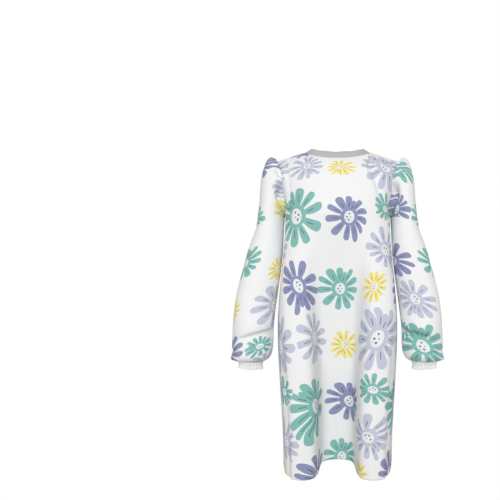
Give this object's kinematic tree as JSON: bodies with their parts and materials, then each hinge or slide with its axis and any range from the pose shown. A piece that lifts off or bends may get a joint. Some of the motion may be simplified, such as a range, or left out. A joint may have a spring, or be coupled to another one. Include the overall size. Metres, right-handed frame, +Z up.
{
  "type": "patient gown",
  "caption": "knee-length pullover patient gown with puffed sleeve caps, full lower sleeves, frilled elastic cuffs, a flat rib neckband and a printed cotton body with soft hem folds",
  "frame": {"origin": "middle of the neck opening, level with the points where the neckband meets the shoulder seams; the gown hangs from here", "axes": "+Z up along the length of the gown, the front faces -Y, and +X is to the right as seen from the front"},
  "size_m": [0.6442, 0.2199, 1.0005],
  "materials": {
    "printed_cotton": "plain white cotton weave with a scattered daisy print in sea green, slate blue, lilac and yellow",
    "grey_rib": "fine vertical rib knit, mid grey",
    "grey_tape": "narrow woven tape, pale grey",
    "overlock_thread": "overlocked raw edge in white thread",
    "elastic": "woven elastic, off-white"
  },
  "bodies": {
    "gown_body": {"front_panel": "printed_cotton", "back_panel": "printed_cotton", "front_hem": "printed_cotton", "back_hem": "printed_cotton", "neckband": "grey_rib", "neck_tape": "grey_tape", "left_shoulder_seam": "overlock_thread", "right_shoulder_seam": "overlock_thread", "left_side_seam": "overlock_thread", "right_side_seam": "overlock_thread", "left_armhole_seam": "overlock_thread", "right_armhole_seam": "overlock_thread"},
    "left_sleeve": {"left_sleeve_cap": "printed_cotton", "left_cross_seam": "overlock_thread", "left_lower_sleeve": "printed_cotton", "left_underarm_seam": "overlock_thread", "left_cuff_elastic": "elastic", "left_cuff_casing": "printed_cotton", "left_cuff_frill": "printed_cotton"},
    "right_sleeve": {"right_sleeve_cap": "printed_cotton", "right_cross_seam": "overlock_thread", "right_lower_sleeve": "printed_cotton", "right_underarm_seam": "overlock_thread", "right_cuff_elastic": "elastic", "right_cuff_casing": "printed_cotton", "right_cuff_frill": "printed_cotton"}
  },
  "joints": [
    {"name": "left_arm_lift", "type": "hinge", "parent": "gown_body", "child": "left_sleeve", "pos_m": [-0.196, 0, -0.03], "axis": [0, 1, 0], "range_deg": [0, 60], "deforming": ["left_sleeve_cap"]},
    {"name": "right_arm_lift", "type": "hinge", "parent": "gown_body", "child": "right_sleeve", "pos_m": [0.196, 0, -0.03], "axis": [0, -1, 0], "range_deg": [0, 60], "deforming": ["right_sleeve_cap"]}
  ]
}
